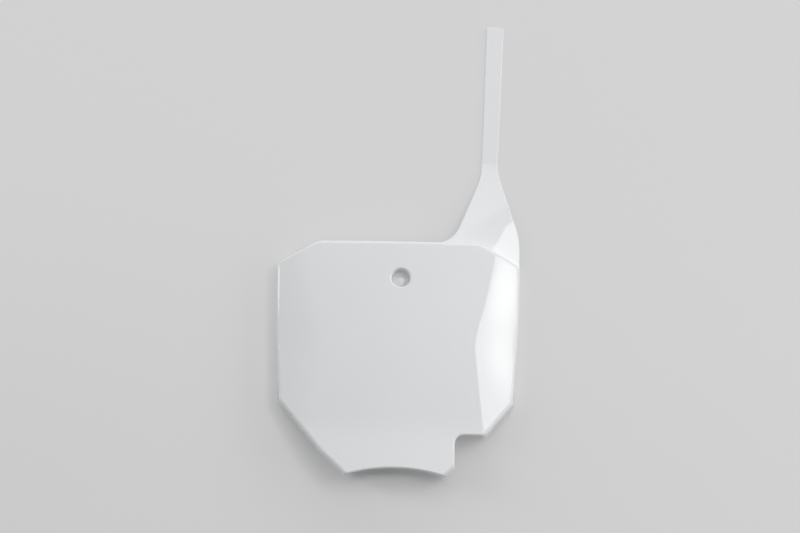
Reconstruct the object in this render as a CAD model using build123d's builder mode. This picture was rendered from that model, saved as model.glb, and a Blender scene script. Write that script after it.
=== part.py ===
from build123d import *
import math
import os

# Racing number board: a dished cover moulded in one piece, with a bolt recess and a bar strap.
# The board lies on its back. X runs across it, Y up it towards the strap, Z out of its face.
# It is drawn about its middle line, and the finished board has its origin at the centre of the bolt hole,
# on the seat at the bottom of the recess.

# Walls and edges
wall = 2.6
draft = 5.0
edge_radius = 4.0

# Bolt recess, a little to the right of the middle line
bolt_x = 2.8
bolt_hole_diameter = 7.0
seat_diameter = 16.6
seat_wall = 3.0
recess_depth = 12.0
recess_draft = 5.0
recess_rim_radius = 1.8

# Outline at the rim, right half, from the bottom round to the top edge
foot_x = 46.0
foot_y = -203.0
foot_radius = 16.0
hip_x = 74.6
hip_y = -175.6
hip_radius = 40.0
elbow_x = 116.7
elbow_y = -123.5
elbow_radius = 11.0
flank_x = 122.0
flank_y = -45.0
flank_radius = 1000.0
cheek_x = 123.0
cheek_y = 17.5
cheek_radius = 9.0
shoulder_x = 82.0
shoulder_radius = 30.0
top_y = 40.4

# Cut-outs in the bottom: the arch over the mudguard and the notch for the brake hose
arch_rise = 13.7
arch_radius = 168.0
arch_bevel = 1.2
notch_rise = 47.7
notch_x = 58.3
notch_radius = 9.0
notch_edge_radius = 2.0
tab_radius = 8.0

# Face: crowned both ways, with a soft crease down each side where the wings fall back
crown_y = -91.0
upright_radius = 2000.0
face_radius = 600.0
crease_radius = 90.0
crease_turn = 5.0
wing_radius = 300.0
waist_y = -66.0
waist_half_width = 74.0
crease_top_half_width = 94.0
crease_low_half_width = 86.0
apron_top_y = -139.0
apron_bend = 24.0
apron_flare = 0.10

# Flange round the edge: it follows the face, and at the sides it ends on the rim plane
flange_depth = 16.5
rim_below_seat = 18.9

# Strap: a tongue that leaves the top edge a step below the face and runs down to the rim plane
strap_thickness = 3.0
strap_step = 6.0
strap_edge_bevel = 0.9
strap_tip_y = 272.3
strap_tip_left = 86.4
strap_tip_right = 104.3
strap_tip_radius = 2.5
strap_root_y = 32.0
strap_flat_y = 126.0
strap_fade = 1.3
root_left_x = 53.3
root_left_radius = 30.0
neck_left_x = 82.2
neck_left_y = 111.5
neck_left_radius = 60.0
neck_right_x = 98.8
neck_right_y = 117.0
neck_right_radius = 70.0
root_right_x = 122.0
root_right_y = 47.0
root_right_radius = 90.0

arch_top_y = foot_y + arch_rise
notch_y = foot_y + notch_rise
tab_y = foot_y + (notch_x - foot_x) * (hip_y - foot_y) / (hip_x - foot_x)
rim_z = -rim_below_seat
crown_z = recess_depth + crown_y**2 / (2 * upright_radius)
height = crown_z - rim_z


def crown_line(y):
    """Height of the face on the middle line: an arc, then a bend into the flared apron."""
    arc_y = max(y, apron_top_y)
    arc = crown_z - (arc_y - crown_y) ** 2 / (2 * upright_radius)
    slope = (crown_y - apron_top_y) / upright_radius
    bent = min(max(apron_top_y - y, 0), apron_bend)
    straight = max(apron_top_y - apron_bend - y, 0)
    return arc + (slope + apron_flare) * bent**2 / (2 * apron_bend) - slope * bent + apron_flare * straight


def crease_half_width(y):
    """Distance of the creases from the middle line: two straight runs that meet at the waist."""
    if y > waist_y:
        rise = (y - waist_y) / (cheek_y - waist_y)
        return waist_half_width + (crease_top_half_width - waist_half_width) * rise
    fall = (waist_y - y) / (waist_y - notch_y)
    return waist_half_width + (crease_low_half_width - waist_half_width) * fall


def crease_end(y):
    """Slope angles where a crease starts and ends in the section at y, and the place where it ends."""
    start = math.asin(crease_half_width(y) / face_radius)
    end = start + math.radians(crease_turn)
    x = face_radius * math.sin(start) + crease_radius * (math.sin(end) - math.sin(start))
    z = crown_line(y) - face_radius * (1 - math.cos(start)) + crease_radius * (math.cos(end) - math.cos(start))
    return start, end, x, z


def wing_slope(x, y):
    """Slope angle of the wing at a point outside the crease."""
    start, end, crease_x, crease_z = crease_end(y)
    return math.asin(math.sin(end) + (x - crease_x) / wing_radius)


def face_height(x, y):
    """Height of the face at a point beside the middle line."""
    start, end, crease_x, crease_z = crease_end(y)
    if x < crease_half_width(y):
        return crown_line(y) - face_radius + math.sqrt(face_radius**2 - x**2)
    return crease_z + wing_radius * (math.cos(wing_slope(x, y)) - math.cos(end))


def body_below_face(inset):
    """Block whose top is the face moved inwards by inset, lofted from sections of tangent arcs."""
    count = 15
    margin = flange_depth
    first_y = top_y + margin
    pitch = (foot_y - margin - first_y) / (count - 1)
    base_z = rim_z - 2 * height
    with BuildPart() as block:
        for index in range(count):
            y = first_y + pitch * index
            start, end, crease_x, crease_z = crease_end(y)
            half_turn = math.degrees(start)
            wing_turn = math.degrees(wing_slope(cheek_x + margin, y) - end)
            with BuildSketch(Plane.XZ.offset(-y)):
                with BuildLine():
                    centre = (0, crown_line(y) - face_radius)
                    face = CenterArc(centre, face_radius - inset, 90 + half_turn, -2 * half_turn)
                    crease = JernArc(face @ 1, face % 1, crease_radius - inset, -crease_turn)
                    wing = JernArc(crease @ 1, crease % 1, wing_radius - inset, -wing_turn)
                    side = Line(wing @ 1, ((wing @ 1).X, base_z))
                    mirror([crease, wing, side], about=Plane.YZ)
                    Line(side @ 1, (-(side @ 1).X, base_z))
                make_face()
        loft()
    return block.part


def cover(inset):
    """Filled cover: the outline drawn up with drafted sides to the face, all moved inwards by inset."""
    with BuildPart() as block:
        with BuildSketch(Plane.XY.offset(rim_z)):
            with BuildLine():
                FilletPolyline(
                    (0, foot_y),
                    (foot_x, foot_y),
                    (hip_x, hip_y),
                    (elbow_x, elbow_y),
                    (flank_x, flank_y),
                    (cheek_x, cheek_y),
                    (shoulder_x, top_y),
                    (0, top_y),
                    radius=[foot_radius, hip_radius, elbow_radius, flank_radius, cheek_radius, shoulder_radius],
                )
                mirror(about=Plane.YZ)
            make_face()
            if inset:
                offset(amount=-inset)
        extrude(amount=2 * height, taper=draft)
        add(body_below_face(inset), mode=Mode.INTERSECT)
    return block.part


with BuildPart() as strap:
    inner_x = root_left_x - root_left_radius
    outer_x = cheek_x
    middle_x = (inner_x + outer_x) / 2
    flat_z = rim_z + strap_thickness
    root_y = top_y - (crown_line(top_y) - rim_z) * math.tan(math.radians(draft))
    start_y = cheek_y - cheek_radius
    count = 8
    for index in range(count):
        y = start_y + (strap_flat_y - start_y) * index / (count - 1)
        share = ((strap_flat_y - y) / (strap_flat_y - strap_root_y)) ** strap_fade
        inner_z, middle_z, outer_z = (
            flat_z + share * (face_height(x, strap_root_y) - strap_step - flat_z)
            for x in (inner_x, middle_x, outer_x)
        )
        control_z = 2 * middle_z - (inner_z + outer_z) / 2
        with BuildSketch(Plane.XZ.offset(-y)):
            with BuildLine():
                top = Bezier((inner_x, inner_z), (middle_x, control_z), (outer_x, outer_z))
                bottom = Bezier(
                    (inner_x, inner_z - strap_thickness),
                    (middle_x, control_z - strap_thickness),
                    (outer_x, outer_z - strap_thickness),
                )
                Line(top @ 1, bottom @ 1)
                Line(top @ 0, bottom @ 0)
            make_face()
    loft()
    with BuildSketch(Plane.XY.offset(rim_z)):
        with Locations((inner_x, strap_flat_y)):
            Rectangle(outer_x - inner_x, strap_tip_y - strap_flat_y, align=(Align.MIN, Align.MIN))
    extrude(amount=strap_thickness)
    with BuildSketch(Plane.XY.offset(rim_z)):
        with BuildLine():
            edge = FilletPolyline(
                (root_right_x, cheek_y - cheek_radius / 4),
                (root_right_x, root_right_y),
                (neck_right_x, neck_right_y),
                (strap_tip_right, strap_tip_y),
                (strap_tip_left, strap_tip_y),
                (neck_left_x, neck_left_y),
                (root_left_x, root_y),
                (inner_x, root_y),
                radius=[
                    root_right_radius,
                    neck_right_radius,
                    strap_tip_radius,
                    strap_tip_radius,
                    neck_left_radius,
                    root_left_radius,
                ],
            )
            Polyline(
                edge @ 1,
                (inner_x, root_y - wall),
                (shoulder_x, root_y - wall),
                (cheek_x - 2 * cheek_radius, start_y),
                edge @ 0,
            )
        make_face()
    extrude(amount=height, mode=Mode.INTERSECT)
    upper = strap.faces().filter_by(lambda face: face.normal_at().Z > 0.5)
    sides = strap.faces().filter_by(lambda face: abs(face.normal_at().Z) < 0.01)
    chamfer(upper.edges() & sides.edges(), strap_edge_bevel)


with BuildPart() as number_board:
    # Cover, rounded where its sides meet the face, then hollowed, with the strap grown into its wall
    add(cover(0))
    face = number_board.faces().filter_by(GeomType.BSPLINE)
    sides = number_board.faces() - face
    fillet(face.edges() & sides.edges(), edge_radius)
    add(body_below_face(flange_depth), mode=Mode.SUBTRACT)
    add(strap.part)
    add(cover(wall), mode=Mode.SUBTRACT)

    # Boss behind the face, then the recess in front and the bolt hole through its seat
    with BuildSketch(Plane((bolt_x, 0, -seat_wall))):
        Circle(seat_diameter / 2 + wall)
    extrude(amount=seat_wall + recess_depth - wall / 2, taper=-recess_draft)
    with BuildSketch(Plane((bolt_x, 0, 0))):
        Circle(seat_diameter / 2)
    extrude(amount=2 * recess_depth, taper=-recess_draft, mode=Mode.SUBTRACT)
    recess_wall = number_board.faces(Select.LAST).filter_by(GeomType.CONE)
    fillet(recess_wall.edges().filter_by(GeomType.BSPLINE), recess_rim_radius)
    with Locations((bolt_x, 0)):
        Hole(bolt_hole_diameter / 2)

    # Arch and hose notch, cut clean through the face and the flange
    with BuildSketch(Plane.XY.offset(rim_z)):
        with Locations((0, arch_top_y - arch_radius)):
            Circle(arch_radius)
    extrude(amount=2 * height, mode=Mode.SUBTRACT)
    arch_wall = number_board.faces(Select.LAST).filter_by(GeomType.CYLINDER)
    chamfer(arch_wall.edges().sort_by(Axis.Z)[-1], arch_bevel)
    with BuildSketch(Plane.XY.offset(rim_z)):
        with BuildLine():
            notch = FilletPolyline(
                (foot_x, foot_y),
                (notch_x, tab_y),
                (notch_x, notch_y),
                (cheek_x, notch_y),
                radius=[tab_radius, notch_radius],
            )
            Polyline(notch @ 1, (cheek_x, foot_y), notch @ 0)
        make_face()
    extrude(amount=2 * height, mode=Mode.SUBTRACT)
    notch_wall = number_board.faces(Select.LAST).filter_by(Plane.YZ)
    fillet(notch_wall.edges().sort_by(Axis.Z)[-1], notch_edge_radius)

os.makedirs("parts", exist_ok=True)
board = number_board.part.moved(Location((-bolt_x, 0, 0)))
board.label = "number_board"
export_step(board, "parts/number_board.step")
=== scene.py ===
import math

import bpy
from mathutils import Matrix, Vector


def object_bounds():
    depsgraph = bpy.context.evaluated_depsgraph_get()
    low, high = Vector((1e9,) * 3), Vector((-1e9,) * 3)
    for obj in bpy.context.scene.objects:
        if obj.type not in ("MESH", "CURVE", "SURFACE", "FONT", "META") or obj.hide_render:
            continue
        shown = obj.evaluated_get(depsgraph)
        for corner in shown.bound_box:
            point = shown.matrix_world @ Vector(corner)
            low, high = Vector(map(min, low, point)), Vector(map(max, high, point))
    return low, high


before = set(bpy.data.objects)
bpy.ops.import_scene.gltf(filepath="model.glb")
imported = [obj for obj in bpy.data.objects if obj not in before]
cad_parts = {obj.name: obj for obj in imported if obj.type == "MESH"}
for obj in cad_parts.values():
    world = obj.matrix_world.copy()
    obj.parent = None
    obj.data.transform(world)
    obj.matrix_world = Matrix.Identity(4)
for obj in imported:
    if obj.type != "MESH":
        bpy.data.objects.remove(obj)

cad_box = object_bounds()

# Number board
# The real one is a single injection moulding in white polypropylene, polished on the face side.
# One bolt through the recess holds it to the fork bridge, and the strap ties it to the handlebar.
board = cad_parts["number_board"]
plastic = bpy.data.materials.new("white_gloss_plastic")
plastic.use_nodes = True
tree = plastic.node_tree
shader = tree.nodes["Principled BSDF"]
shader.inputs["IOR"].default_value = 1.5
place = tree.nodes.new("ShaderNodeTexCoord").outputs["Object"]
mesh_normal = tree.nodes.new("ShaderNodeNewGeometry").outputs["Normal"]


def feed(tree, socket, value):
    """Link a socket to another node's output, or set it to a number, colour or vector."""
    if isinstance(value, bpy.types.NodeSocket):
        tree.links.new(value, socket)
    else:
        socket.default_value = value


def noise(tree, place, scale, detail):
    """Noise from 0 to 1 at a place; the scale is about the number of its clouds in a metre."""
    node = tree.nodes.new("ShaderNodeTexNoise")
    feed(tree, node.inputs["Vector"], place)
    feed(tree, node.inputs["Scale"], scale)
    feed(tree, node.inputs["Detail"], detail)
    return node.outputs["Fac"]


def mix(tree, kind, share, first, second):
    """The first value where the share is 0, and the second where it is 1."""
    node = tree.nodes.new("ShaderNodeMix")
    node.data_type = kind
    feed(tree, node.inputs["Factor"], share)
    feed(tree, node.inputs["A"], first)
    feed(tree, node.inputs["B"], second)
    return node.outputs["Result"]


def ramp(tree, value, start, end, low=0.0, high=1.0, smooth=False):
    """From low to high as the value goes from start to end, evenly or eased at both ends."""
    node = tree.nodes.new("ShaderNodeMapRange")
    node.interpolation_type = "SMOOTHSTEP" if smooth else "LINEAR"
    feed(tree, node.inputs["Value"], value)
    feed(tree, node.inputs["From Min"], start)
    feed(tree, node.inputs["From Max"], end)
    feed(tree, node.inputs["To Min"], low)
    feed(tree, node.inputs["To Max"], high)
    return node.outputs["Result"]


def axes(tree, vector):
    """The three numbers of a vector."""
    node = tree.nodes.new("ShaderNodeSeparateXYZ")
    feed(tree, node.inputs["Vector"], vector)
    return node.outputs["X"], node.outputs["Y"], node.outputs["Z"]


# The melt cools unevenly, which leaves faint clouds in the white
cloudy_white = (0.848, 0.861, 0.88, 1.0)
clear_white = (0.88, 0.889, 0.902, 1.0)
clouds = noise(tree, place, scale=14.0, detail=2.0)
feed(tree, shader.inputs["Base Color"], mix(tree, "RGBA", clouds, cloudy_white, clear_white))

# The mould is polished for the face and only blasted for the back, which comes out satin
satin_roughness = 0.48
back_side = ramp(tree, axes(tree, mesh_normal)[2], start=-0.05, end=-0.35)
wear = noise(tree, place, scale=55.0, detail=4.0)
polish = ramp(tree, wear, start=0.35, end=0.65, low=0.04, high=0.06)
feed(tree, shader.inputs["Roughness"], mix(tree, "FLOAT", back_side, polish, satin_roughness))

# Fine grain of the blasted back
grain_height = 0.0001
relief = tree.nodes.new("ShaderNodeBump")
feed(tree, relief.inputs["Distance"], grain_height)
feed(tree, relief.inputs["Strength"], back_side)
feed(tree, relief.inputs["Height"], noise(tree, place, scale=1500.0, detail=3.0))
feed(tree, shader.inputs["Normal"], relief.outputs["Normal"])


def calc(tree, operation, *values):
    """Math node on numbers and other nodes' outputs."""
    node = tree.nodes.new("ShaderNodeMath")
    node.operation = operation
    for socket, value in zip(node.inputs, values):
        feed(tree, socket, value)
    return node.outputs["Value"]


def vector_calc(tree, operation, *values):
    """Vector Math node; a length, distance or dot product comes out as a number, the rest as vectors."""
    node = tree.nodes.new("ShaderNodeVectorMath")
    node.operation = operation
    for socket, value in zip(node.inputs, values):
        feed(tree, socket, value)
    gives_number = operation in ("LENGTH", "DISTANCE", "DOT_PRODUCT")
    return node.outputs["Value" if gives_number else "Vector"]


def vector_of(tree, *numbers):
    """The vector with these three numbers."""
    node = tree.nodes.new("ShaderNodeCombineXYZ")
    for socket, number in zip(node.inputs, numbers):
        feed(tree, socket, number)
    return node.outputs["Vector"]


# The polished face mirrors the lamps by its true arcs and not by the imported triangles.
# These sizes are those of the moulded face, in metres from the bolt hole.
middle_x = -0.0028
face_radius = 0.6
crease_radius = 0.09
crease_turn = math.radians(5.0)
wing_radius = 0.3
waist_y = -0.066
waist_half_width = 0.074
crease_top_y = 0.0175
crease_top_half_width = 0.094
crease_low_y = -0.1553
crease_low_half_width = 0.086
crown_y = -0.091
upright_radius = 2.0
apron_top_y = -0.139
apron_bend = 0.024
apron_flare = 0.1

# The creases run in straight lines from the waist, outwards both ways
upper_slant = (crease_top_half_width - waist_half_width) / (crease_top_y - waist_y)
lower_slant = (crease_low_half_width - waist_half_width) / (crease_low_y - waist_y)
x, y, _ = axes(tree, place)
above_waist = calc(tree, "SUBTRACT", y, waist_y)
upper_shift = calc(tree, "MULTIPLY", above_waist, upper_slant)
lower_shift = calc(tree, "MULTIPLY", above_waist, lower_slant)
crease_x = calc(tree, "ADD", calc(tree, "MAXIMUM", upper_shift, lower_shift), waist_half_width)

# Each crease turns the slope by its angle, so its width is its radius times the gain in sine
start_sine = calc(tree, "DIVIDE", crease_x, face_radius)
end_angle = calc(tree, "ADD", calc(tree, "ARCSINE", start_sine), crease_turn)
gained_sine = calc(tree, "SUBTRACT", calc(tree, "SINE", end_angle), start_sine)
crease_width = calc(tree, "MULTIPLY", gained_sine, crease_radius)

# Across the board the sine of the slope grows by the way along each arc over that arc's radius
across = calc(tree, "SUBTRACT", x, middle_x)
out = calc(tree, "ABSOLUTE", across)
past_crease_start = calc(tree, "SUBTRACT", out, crease_x)
past_crease_end = calc(tree, "SUBTRACT", past_crease_start, crease_width)
on_crown = calc(tree, "MINIMUM", out, crease_x)
in_crease = calc(tree, "MINIMUM", calc(tree, "MAXIMUM", past_crease_start, 0.0), crease_width)
on_wing = calc(tree, "MAXIMUM", past_crease_end, 0.0)
crown_sine = calc(tree, "DIVIDE", on_crown, face_radius)
crease_sine = calc(tree, "MULTIPLY_ADD", in_crease, 1 / crease_radius, crown_sine)
sine = calc(tree, "MULTIPLY_ADD", on_wing, 1 / wing_radius, crease_sine)
cosine = calc(tree, "SQRT", calc(tree, "SUBTRACT", 1.0, calc(tree, "MULTIPLY", sine, sine)))
slope_x = calc(tree, "MULTIPLY", calc(tree, "DIVIDE", sine, cosine), calc(tree, "SIGN", across))

# Up the board the face is one long arc that bends into the flared apron
arc_end_slope = (crown_y - apron_top_y) / upright_radius
apron_gain = (arc_end_slope + apron_flare) / apron_bend
arc_slope = calc(tree, "DIVIDE", calc(tree, "SUBTRACT", y, crown_y), upright_radius)
into_apron = calc(tree, "SUBTRACT", apron_top_y, y)
apron_slope = calc(tree, "MULTIPLY_ADD", into_apron, apron_gain, -arc_end_slope)
middle_slope = calc(tree, "MINIMUM", calc(tree, "MAXIMUM", arc_slope, apron_slope), apron_flare)

# A crease that lies further out leaves its wing higher. So where the creases slant, the wings tilt up or
# down the board, by the slant times the slope that they gained past the crown's own arc.
crease_slant = ramp(
    tree, above_waist, start=-0.02, end=0.02, low=lower_slant, high=upper_slant, smooth=True
)
gained_in_crease = calc(tree, "MULTIPLY", in_crease, 1 / crease_radius - 1 / face_radius)
gained = calc(tree, "MULTIPLY_ADD", on_wing, 1 / wing_radius - 1 / face_radius, gained_in_crease)
slope_y = calc(tree, "SUBTRACT", middle_slope, calc(tree, "MULTIPLY", crease_slant, gained))
true_normal = vector_calc(tree, "NORMALIZE", vector_of(tree, slope_x, slope_y, 1.0))

# Only the face takes this normal: what lies near its slope, outside the recess and below the top edge
recess_half_width = 0.0115
top_edge_y = 0.0365
shoulder_line_y = 0.0828
shoulder_line_slant = -0.5488
near_slope = ramp(
    tree, vector_calc(tree, "DOT_PRODUCT", true_normal, mesh_normal), start=0.985, end=0.996
)
from_bolt = vector_calc(tree, "LENGTH", vector_of(tree, x, y, 0.0))
off_recess = calc(tree, "GREATER_THAN", from_bolt, recess_half_width)
shoulder_y = calc(tree, "MULTIPLY_ADD", out, shoulder_line_slant, shoulder_line_y)
below_top = calc(tree, "LESS_THAN", y, calc(tree, "MINIMUM", shoulder_y, top_edge_y))
on_face = calc(tree, "MULTIPLY", near_slope, calc(tree, "MULTIPLY", off_recess, below_top))
feed(tree, relief.inputs["Normal"], mix(tree, "VECTOR", on_face, mesh_normal, true_normal))
board.data.materials.clear()
board.data.materials.append(plastic)

# Floor
# A seamless sweep of pale grey card that the board lies on, matt, so that it shows no reflection.
# Part of its brightness is painted light, which only the camera and reflections see: it lightens the floor's
# shadows, more towards the strap, glows most under the bolt hole, and is left out right along the edge of
# the arch, which paints a darker shadow there.
floor_half = 6.0
floor_z = cad_box[0].z
card_grey = (0.8, 0.8, 0.8, 1.0)
painted_light_grey = (0.645, 0.645, 0.645, 1.0)
arch_top_y = -0.1893
arch_radius = 0.168
floor_mesh = bpy.data.meshes.new("floor")
floor_mesh.from_pydata(
    [
        (-floor_half, -floor_half, floor_z),
        (floor_half, -floor_half, floor_z),
        (floor_half, floor_half, floor_z),
        (-floor_half, floor_half, floor_z),
    ],
    [],
    [(0, 1, 2, 3)],
)
floor = bpy.data.objects.new("floor", floor_mesh)
bpy.context.collection.objects.link(floor)
card = bpy.data.materials.new("grey_card")
card.use_nodes = True
tree = card.node_tree
tree.nodes.remove(tree.nodes["Principled BSDF"])
matt = tree.nodes.new("ShaderNodeBsdfDiffuse")
feed(tree, matt.inputs["Color"], card_grey)
painted_glow_shader = tree.nodes.new("ShaderNodeEmission")
feed(tree, painted_glow_shader.inputs["Color"], painted_light_grey)
place = tree.nodes.new("ShaderNodeTexCoord").outputs["Object"]
x, y, _ = axes(tree, place)
from_bolt = vector_calc(tree, "DISTANCE", place, (0.0, 0.0, floor_z))
# Painted light: the floor glows under the bolt hole, so the hole shows bright though the floor there lies in
# shade
hole_painted_glow = ramp(tree, from_bolt, start=0.03, end=0.015, high=0.95)
# Painted light: more of the glow towards the strap, which lightens the board's shadows there
painted_light_up_board = ramp(tree, y, start=-0.2, end=0.2, low=0.24, high=0.8, smooth=True)
# Painted shadow: no glow right along the arch's edge, so the floor is darker there
arch_middle = (middle_x, arch_top_y - arch_radius, floor_z)
from_arch_middle = vector_calc(tree, "DISTANCE", place, arch_middle)
off_arch_edge = calc(tree, "ABSOLUTE", calc(tree, "SUBTRACT", from_arch_middle, arch_radius))
outside_painted_arch_shadow = ramp(tree, off_arch_edge, start=0.0, end=0.009, smooth=True)
beside_arch = ramp(tree, calc(tree, "ABSOLUTE", x), start=0.038, end=0.055, smooth=True)
painted_light_in_open = calc(tree, "MULTIPLY", painted_light_up_board, calc(tree, "MAXIMUM", outside_painted_arch_shadow, beside_arch))
painted_light_share = calc(tree, "MAXIMUM", hole_painted_glow, painted_light_in_open)

# The camera and reflections see this light, and nothing is lit by it
ray = tree.nodes.new("ShaderNodeLightPath").outputs
reflected = calc(tree, "MAXIMUM", ray["Is Glossy Ray"], ray["Is Transmission Ray"])
seen = calc(tree, "MAXIMUM", ray["Is Camera Ray"], reflected)
surface = tree.nodes.new("ShaderNodeMixShader")
feed(tree, surface.inputs["Fac"], calc(tree, "MULTIPLY", painted_light_share, seen))
feed(tree, surface.inputs[1], matt.outputs["BSDF"])
feed(tree, surface.inputs[2], painted_glow_shader.outputs["Emission"])
feed(tree, tree.nodes["Material Output"].inputs["Surface"], surface.outputs["Shader"])
floor_mesh.materials.append(card)

# Studio light
# A light tent about 6 m wide: a tall strip on its left, soft panels on its right and beyond the strap,
# and two more in its roof, 4 m above the board. The one on the right of the roof, the soft box,
# is what the right wing and the foot of the strap mirror as a white band.
aim = Vector((middle_x, -0.05, 0.0))


def soft_box(name, low, high, radiance):
    """Area lamp that fills the upright or level rectangle between two corners, given in metres from the aim.

    Its energy is the radiance times pi times its area. It faces down, or from its wall towards the board.
    """
    low, high = Vector(low), Vector(high)
    size, middle = high - low, (low + high) / 2
    if size.z == 0:
        up = Vector((0.0, 1.0, 0.0))
        back = Vector((0.0, 0.0, 1.0))
    else:
        up = Vector((0.0, 0.0, 1.0))
        back = Vector((middle.x, 0.0, 0.0)) if size.x == 0 else Vector((0.0, middle.y, 0.0))
        back.normalize()
    side = up.cross(back)
    lamp = bpy.data.lights.new(name, "AREA")
    lamp.shape = "RECTANGLE"
    lamp.size = abs(size.dot(side))
    lamp.size_y = abs(size.dot(up))
    lamp.energy = radiance * math.pi * lamp.size * lamp.size_y
    holder = bpy.data.objects.new(name, lamp)
    holder.matrix_world = Matrix.Translation(aim + middle) @ Matrix((side, up, back)).transposed().to_4x4()
    bpy.context.collection.objects.link(holder)
    return lamp


soft_box("left_strip", (-3.0, 0.6, 0.5), (-3.0, 1.2, 3.2), radiance=5.9)
soft_box("right_wall", (3.0, -1.5, 0.6), (3.0, 3.0, 1.7), radiance=2.15)
soft_box("strap_end_wall", (-1.0, 3.0, 0.35), (3.0, 3.0, 1.8), radiance=1.2)
soft_box("roof_panel", (-1.45, 1.78, 4.0), (1.15, 3.36, 4.0), radiance=0.95)
key = soft_box("right_soft_box", (1.54, 0.0, 4.0), (3.6, 2.9, 4.0), radiance=6.9)
key.color = (1.0, 0.985, 0.965)

# The soft box is brightest round its bulb and falls to about half towards its rim.
# A straight flag cuts its far inner corner, and a small oval one covers the middle of its inner edge.
key.use_nodes = True
tree = key.node_tree
place = tree.nodes.new("ShaderNodeNewGeometry").outputs["Position"]
from_aim = vector_calc(tree, "SUBTRACT", place, aim)
bulb = (2.9, 1.13, 4.0)
bulb_radii = (1.0, 0.64, 1.0)
oval_flag = (1.54, 1.36, 4.0)
oval_flag_radii = (0.28, 0.42, 1.0)
straight_flag_across = (-1.16, 1.0, 0.0)


def reach(tree, place, middle, radii):
    """How far out a place is from a middle, where 1 is the oval with these radii."""
    apart = vector_calc(tree, "SUBTRACT", place, middle)
    return vector_calc(tree, "LENGTH", vector_calc(tree, "DIVIDE", apart, radii))


from_bulb = reach(tree, from_aim, bulb, bulb_radii)
fall = ramp(tree, from_bulb, start=0.15, end=1.0, low=1.0, high=0.55, smooth=True)
past_oval = ramp(tree, reach(tree, from_aim, oval_flag, oval_flag_radii), start=0.9, end=1.1)
flag_side = vector_calc(tree, "DOT_PRODUCT", from_aim, straight_flag_across)
past_straight = ramp(tree, flag_side, start=0.326, end=0.226)
uncovered = calc(tree, "MULTIPLY", past_oval, past_straight)
feed(tree, tree.nodes["Emission"].inputs["Strength"], calc(tree, "MULTIPLY", fall, uncovered))

# The room is brightest overhead and dark beyond the foot of the board, so a shadow lies under the arch
room_white = (0.98, 0.99, 1.0, 1.0)
world = bpy.data.worlds.new("even_room")
world.use_nodes = True
tree = world.node_tree
room = tree.nodes["Background"]
feed(tree, room.inputs["Color"], room_white)
_, y, z = axes(tree, tree.nodes.new("ShaderNodeTexCoord").outputs["Generated"])
overhead = ramp(tree, z, start=0.7, end=0.95, low=0.31, high=0.53, smooth=True)
foot_side = ramp(tree, y, start=-0.9, end=-0.3, low=0.3, smooth=True)
feed(tree, room.inputs["Strength"], calc(tree, "MULTIPLY", overhead, foot_side))
bpy.context.scene.world = world

# Camera
# It looks down on the board from its foot end, 12 degrees off the vertical and turned by about one degree.
camera_target = Vector((-0.0012, 0.0136, 0.0011))
camera_distance = 1.9
camera_tilt = math.radians(12.0)
camera_roll = math.radians(1.1)
back = Vector((0.0, -math.sin(camera_tilt), math.cos(camera_tilt)))
right = Vector((1.0, 0.0, 0.0))
up = back.cross(right)
rolled_right = math.cos(camera_roll) * right + math.sin(camera_roll) * up
rolled_up = math.cos(camera_roll) * up - math.sin(camera_roll) * right
lens = bpy.data.cameras.new("camera")
lens.sensor_width = 36.0
lens.lens = 85.5
camera = bpy.data.objects.new("camera", lens)
camera.matrix_world = (
    Matrix.Translation(camera_target + back * camera_distance)
    @ Matrix((rolled_right, rolled_up, back)).transposed().to_4x4()
)
bpy.context.collection.objects.link(camera)
bpy.context.scene.camera = camera
bpy.context.scene.view_settings.view_transform = "Standard"
